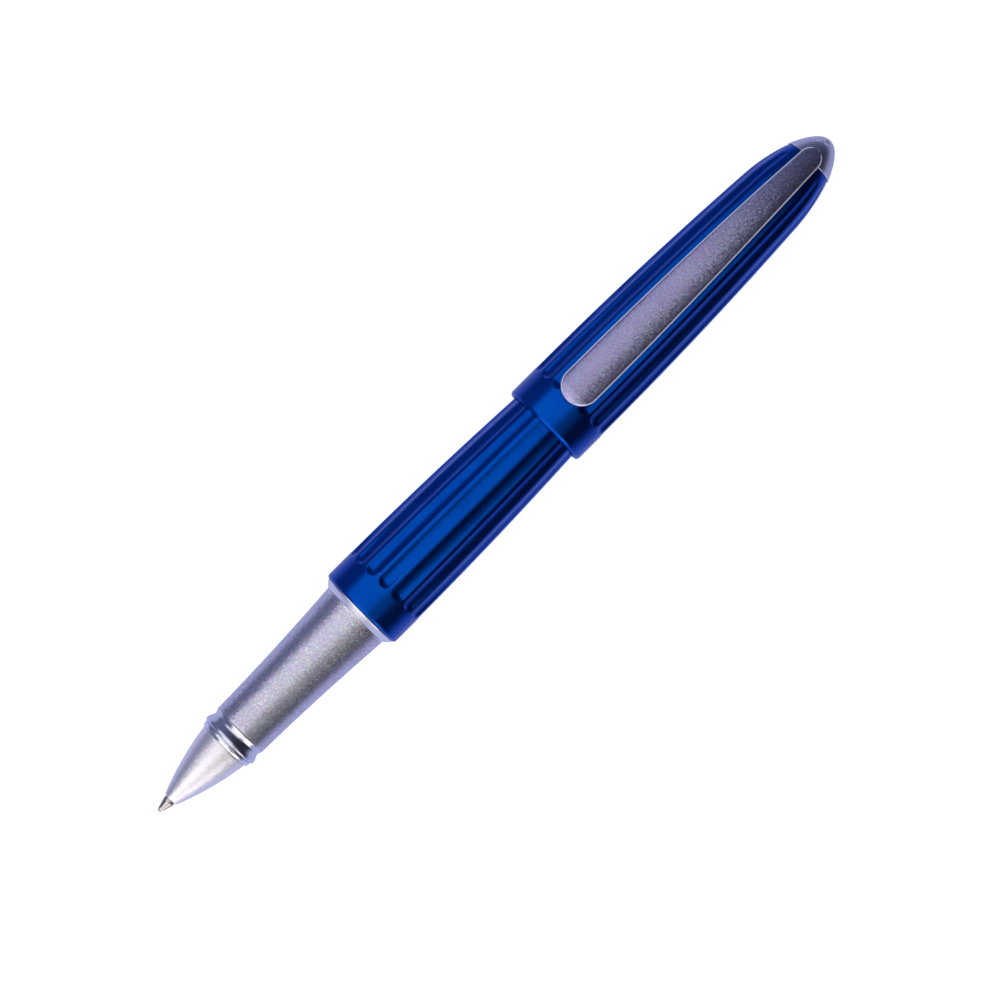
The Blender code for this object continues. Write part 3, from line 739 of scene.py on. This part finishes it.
def makeBall():
    bm = bmesh.new()
    bmesh.ops.create_icosphere(bm, subdivisions=4, radius=ballRadius * mm)
    bmesh.ops.translate(bm, vec=penPoint(ballRadius), verts=bm.verts)
    finishPiece(bm, "tipBall", [carbide], "ball", ["tip_ball"])


makeNose()
makeSnapRing()
makeGrip()
makeTrimRing()
makeRefillTip()
makeBall()

print("clip")
clipLook = {
    "start": 90.8, "end": 147.1,
    "halfWidth": 3.2, "farHalfWidth": 2.0,
    "taperStart": 96.0, "taperLength": 47.0, "taperCurve": 1.8,
    "thickness": 1.1,
    "edge": 0.22, "edgeDrop": 0.15,     # the polished chamfer
    "faceTilt": 0.7,                    # faces that lean less than this belong to the outer side
    "faceHeight": 9.68, "slope": 0.0244,
    "bendStart": 118.0, "bendCurve": 2.6, "drop": 3.1,
    "noseLength": 1.8, "noseDrop": 0.5,  # the free end rolls down
    "crowning": 13.0,
    "rows": (110, 10), "crowding": 0.85, "endGap": 0.012,
    "foot": ((140.9, 143.9), 1.3, 2.2),  # stations, half width, lowest height
    "footRound": 0.15,
    "bead": (96.5, 8.6, 0.8),            # station, height, radius
}


def clipHeight(x):
    c = clipLook
    bend = max(x - c["bendStart"], 0.0) / (c["end"] - c["bendStart"])
    nose = max(1 - (x - c["start"]) / c["noseLength"], 0.0)
    straight = c["faceHeight"] - c["slope"] * (x - c["start"])
    return straight - c["drop"] * bend ** c["bendCurve"] - c["noseDrop"] * nose * nose


def clipHalfWidth(x):
    c = clipLook
    u = max(x - c["taperStart"], 0.0) / c["taperLength"]
    width = c["halfWidth"] - (c["halfWidth"] - c["farHalfWidth"]) * u ** c["taperCurve"]
    near = min((x - c["start"]) / c["halfWidth"], 1.0)
    far = min((c["end"] - x) / c["farHalfWidth"], 1.0)
    return width * sqrt(1 - (1 - near) ** 2) * sqrt(1 - (1 - far) ** 2)


def addFoot(bm):
    (first, last), half, bottom = clipLook["foot"]
    made = bmesh.ops.create_cube(bm, size=1.0)["verts"]
    for v in made:
        x = first if v.co.x < 0 else last
        up = bottom if v.co.z < 0 else clipHeight(x) - clipLook["thickness"] / 2
        v.co = penPoint(x, half * 2 * v.co.y, up)
    edges = list({e for v in made for e in v.link_edges})
    bmesh.ops.bevel(bm, geom=edges, offset=clipLook["footRound"] * mm, affect="EDGES", segments=3,
                    profile=0.5, material=-1)


def addBead(bm):
    x, up, radius = clipLook["bead"]
    made = bmesh.ops.create_uvsphere(bm, u_segments=32, v_segments=20, radius=radius * mm)["verts"]
    bmesh.ops.translate(bm, vec=penPoint(x, 0.0, up), verts=made)


def makeClip():
    c = clipLook
    bm = bmesh.new()
    bmesh.ops.create_grid(bm, x_segments=c["rows"][0], y_segments=c["rows"][1], size=0.5)
    length = c["end"] - c["start"] - 2 * c["endGap"]
    for v in bm.verts:
        u = v.co.x + 0.5
        part = u - c["crowding"] * sin(tau * u) / tau  # closer rows at the round ends
        x = c["start"] + c["endGap"] + length * part
        aside = clipHalfWidth(x) * 2 * v.co.y
        v.co = penPoint(x, aside, clipHeight(x) - aside * aside / c["crowning"])
    top = list(bm.faces)
    grown = bmesh.ops.extrude_face_region(bm, geom=top)
    lowered = [item for item in grown["geom"] if isinstance(item, bmesh.types.BMVert)]
    bmesh.ops.translate(bm, vec=(0.0, 0.0, -c["thickness"] * mm), verts=lowered)
    bmesh.ops.recalc_face_normals(bm, faces=bm.faces)
    face = [f for f in bm.faces if f.normal.z > c["faceTilt"]]
    chamfer = bmesh.ops.inset_region(bm, faces=face, thickness=c["edge"] * mm,
                                     use_even_offset=True)["faces"]
    inner = {v for f in face for v in f.verts}
    outer = {v for f in chamfer for v in f.verts} - inner
    bmesh.ops.translate(bm, vec=(0.0, 0.0, -c["edgeDrop"] * mm), verts=list(outer))
    # the chamfer takes the bright edge finish, a painted highlight
    for f in chamfer:
        f.material_index = 1
    addFoot(bm)
    addBead(bm)
    finishPiece(bm, "clipBlade", [blastedClip, clipEdge], "clip", ["clip_blade"], 45)


makeClip()

print("inner parts")


def wound(profile, start, pitch, turns, perTurn):
    # winds a closed (station, radius) profile round the axis as a right-handed helix
    bm = bmesh.new()
    verts = [bm.verts.new(penPoint(start + x, 0.0, r)) for x, r in profile]
    edges = [bm.edges.new(pair) for pair in zip(verts, verts[1:] + verts[:1])]
    bmesh.ops.spin(bm, geom=verts + edges, cent=penPoint(0.0), axis=(1.0, 0.0, 0.0), angle=tau * turns,
                   dvec=(pitch * mm / perTurn, 0.0, 0.0), steps=round(turns * perTurn))
    bmesh.ops.holes_fill(bm, edges=bm.edges, sides=len(profile))
    bmesh.ops.recalc_face_normals(bm, faces=bm.faces)
    return bm


threadLook = {
    "start": 47.9, "pitch": 1.0, "turns": 4.4, "perTurn": 64,
    "ridge": ((0.2, 4.42), (0.45, 4.9), (0.55, 4.9), (0.8, 4.42)),
}
springLook = {
    "start": 111.0, "end": 116.0, "radius": 2.3, "wire": 0.2, "wireSides": 12,
    "turns": 3, "perTurn": 40,
}


def makeSectionCore():
    tube = softOutline([(53.6, 3.35, 0.0), (53.6, 4.2, 0.12), (53.05, 4.2, 0.0), (52.9, 4.45, 0.04),
                        (48.1, 4.45, 0.04), (47.95, 4.2, 0.0), (21.3, 4.2, 0.08), (21.3, 3.35, 0.0)])
    finishPiece(spun(tube, 96), "sectionCore", [brass], "section", ["section_core"])
    t = threadLook
    thread = wound(t["ridge"], t["start"], t["pitch"], t["turns"], t["perTurn"])
    finishPiece(thread, "sectionThread", [brass], "section", [], 20)


def makeSpring():
    s = springLook
    travel = s["end"] - s["start"] - 2 * s["wire"]
    angles = spread(0.0, tau, s["wireSides"] + 1)[:-1]
    wire = [(s["wire"] * cos(a), s["radius"] + s["wire"] * sin(a)) for a in angles]
    bm = wound(wire, s["start"] + s["wire"], travel / s["turns"], s["turns"], s["perTurn"])
    spring = finishPiece(bm, "refillSpring", [springSteel], None, ["refill_spring"], 60)
    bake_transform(spring)


def makeEndPlug():
    outline = softOutline([(120.4, 0.0, 0.0), (120.4, 3.4, 0.3), (119.95, 3.8, 0.12), (119.55, 3.8, 0.05),
                           (119.55, 3.15, 0.0), (116.3, 3.15, 0.1), (116.3, 0.0, 0.0)], False)
    finishPiece(spun(outline, 96, False), "barrelEndPlug", [satin], "barrel", ["barrel_end_plug"])


def makeLiner():
    outline = softOutline([(134.0, 0.0, 0.0), (134.0, 4.5, 0.2), (130.0, 5.05, 0.5), (120.0, 5.55, 2.0),
                           (100.0, 6.05, 0.05), (100.0, 5.8, 0.05), (101.0, 5.7, 0.2), (106.0, 5.45, 1.0),
                           (112.4, 5.4, 0.3), (113.3, 5.1, 0.4), (114.2, 5.3, 0.3), (118.0, 5.2, 1.0),
                           (126.0, 4.7, 1.5), (132.4, 4.1, 0.3), (133.0, 3.4, 0.2), (133.0, 0.0, 0.0)],
                          False)
    finishPiece(spun(outline, 96, False), "capLiner", [linerPlastic], "cap", ["cap_liner"])


makeSectionCore()
makeSpring()
makeEndPlug()
makeLiner()

# parts that never show keep their shapes and get their finishes
innerFinishes = {
    "barrel_thread_bush": brass,
    "refill_tube": refillPlastic,
    "refill_feed": refillPlastic,
    "refill_end_plug": refillPlastic,
    "ink_feed_rod": inkFelt,
    "ink_wick": inkFelt,
    "clip_anchor": brass,
    "lock_washer": springSteel,
    "crown_screw": springSteel,
}
for nodeName, mat in innerFinishes.items():
    node = bpy.data.objects[nodeName]
    if not node.material_slots:
        node.data.materials.append(mat)
    for materialSlot in node.material_slots:
        materialSlot.material = mat

print("studio")
studio = {
    "floorSize": 6.0,
    "floorColour": (0.94, 0.94, 0.95),
    "floorGlow": 0.75,
    "mirroredColour": (0.25, 0.26, 0.42),
    "mirroredGlow": (0.49, 0.53, 0.8),
    "fade": (0.012, 0.09, 1.0, 0.0),
    "dimSide": (0.03, 0.03, 0.045),
    "lightSide": (0.15, 0.18, 0.31),
    "sideFade": (-0.5, 1.0),
    "boxes": (
        ("topBox", (-0.165, 0.24, 0.87), (-0.165, 0.0, 0.0), (0.97, 1.25), 0.94),
        ("rightBox", (-0.265, -0.5, 0.78), (-0.265, 0.0, 0.0), (0.77, 0.5), 0.4),
        ("tipBox", (-0.8, -0.04, 0.62), (-0.05, 0.0, 0.0), (0.8, 0.72), 1.5),
        ("lowBox", (-0.48, -0.52, 0.2), (-0.06, 0.0, 0.0), (0.5, 0.44), 1.8),
        ("frontBox", (-0.95, 0.0, 0.16), (-0.05, 0.0, 0.0), (0.6, 0.28), 1.3),
    ),
}


def makeFloor():
    bm = bmesh.new()
    bmesh.ops.create_grid(bm, x_segments=2, y_segments=2, size=studio["floorSize"] / 2)
    mesh = bpy.data.meshes.new("floor")
    bm.to_mesh(mesh)
    bm.free()
    floor = bpy.data.objects.new("floor", mesh)
    bpy.context.scene.collection.objects.link(floor)
    mat, tree, shader = newMaterial("paleFloor", 0.9, 0.0)
    # the sheet glows rather than being lit: evenly white to the eye, while the metal's reflections see a
    # painted lavender glow near the pen that fades to dark further out
    place = addNode(tree, "ShaderNodeTexCoord")
    split = addNode(tree, "ShaderNodeSeparateXYZ")
    tree.links.new(place.outputs["Object"], split.inputs[0])
    fade = addNode(tree, "ShaderNodeMapRange", interpolation_type="SMOOTHERSTEP")
    tree.links.new(mathNode(tree, "ABSOLUTE", split.outputs[1]), fade.inputs["Value"])
    for label, value in zip(("From Min", "From Max", "To Min", "To Max"), studio["fade"]):
        fade.inputs[label].default_value = value
    direct = addNode(tree, "ShaderNodeLightPath").outputs["Is Camera Ray"]
    mirrored = mixColour(tree, fade.outputs[0], (0.0, 0.0, 0.0), studio["mirroredGlow"])
    shader.inputs["Emission Strength"].default_value = studio["floorGlow"]
    tree.links.new(mixColour(tree, direct, mirrored, (1.0, 1.0, 1.0)), shader.inputs["Emission Color"])
    # painted reflection: to everything but the eye the floor is a darker lavender instead of white
    albedo = mixColour(tree, direct, studio["mirroredColour"], studio["floorColour"])
    tree.links.new(albedo, shader.inputs["Base Color"])
    mesh.materials.append(mat)


def softBox(name, place, target, size, brightness):
    # brightness is what a mirror would show, with 1 as plain white
    data = bpy.data.lights.new(name, "AREA")
    data.shape = "RECTANGLE"
    data.size, data.size_y = size
    data.energy = brightness * pi * size[0] * size[1]
    lamp = bpy.data.objects.new(name, data)
    bpy.context.scene.collection.objects.link(lamp)
    lamp.location = place
    lamp.rotation_euler = (Vector(target) - Vector(place)).to_track_quat("-Z", "Y").to_euler()


def makeCamera():
    view = {"distance": 538.0, "fieldWidth": 158.23, "middleStation": 72.75, "middleAside": -3.32,
            "toCamera": (-0.036, -0.036, 0.9987), "sensor": 36.0}
    data = bpy.data.cameras.new("camera")
    data.sensor_width = view["sensor"]
    data.lens = view["sensor"] * view["distance"] / view["fieldWidth"]
    data.clip_start = 0.01
    data.clip_end = 20.0
    camera = bpy.data.objects.new("camera", data)
    bpy.context.scene.collection.objects.link(camera)
    back = Vector(view["toCamera"]).normalized()
    up = Vector((1.0, 1.0, 0.0))
    up = (up - back * up.dot(back)).normalized()
    right = up.cross(back)
    turn = Matrix((right, up, back)).transposed().to_4x4()
    centre = penPoint(view["middleStation"], view["middleAside"])
    camera.matrix_world = Matrix.Translation(centre + back * view["distance"] * mm) @ turn
    bpy.context.scene.camera = camera


makeFloor()
for box in studio["boxes"]:
    softBox(*box)


def makeWorld():
    # a dim room, a little lighter on the clip's left
    world = bpy.data.worlds.new("studioWorld")
    world.use_nodes = True
    tree = world.node_tree
    place = addNode(tree, "ShaderNodeTexCoord")
    split = addNode(tree, "ShaderNodeSeparateXYZ")
    tree.links.new(place.outputs["Generated"], split.inputs[0])
    side = addNode(tree, "ShaderNodeMapRange", interpolation_type="SMOOTHSTEP")
    side.inputs["From Min"].default_value = studio["sideFade"][0]
    side.inputs["From Max"].default_value = studio["sideFade"][1]
    tree.links.new(split.outputs[1], side.inputs["Value"])
    room = mixColour(tree, side.outputs[0], studio["dimSide"], studio["lightSide"])
    tree.links.new(room, tree.nodes["Background"].inputs["Color"])
    bpy.context.scene.world = world


makeWorld()
bpy.context.scene.view_settings.view_transform = "Standard"

makeCamera()
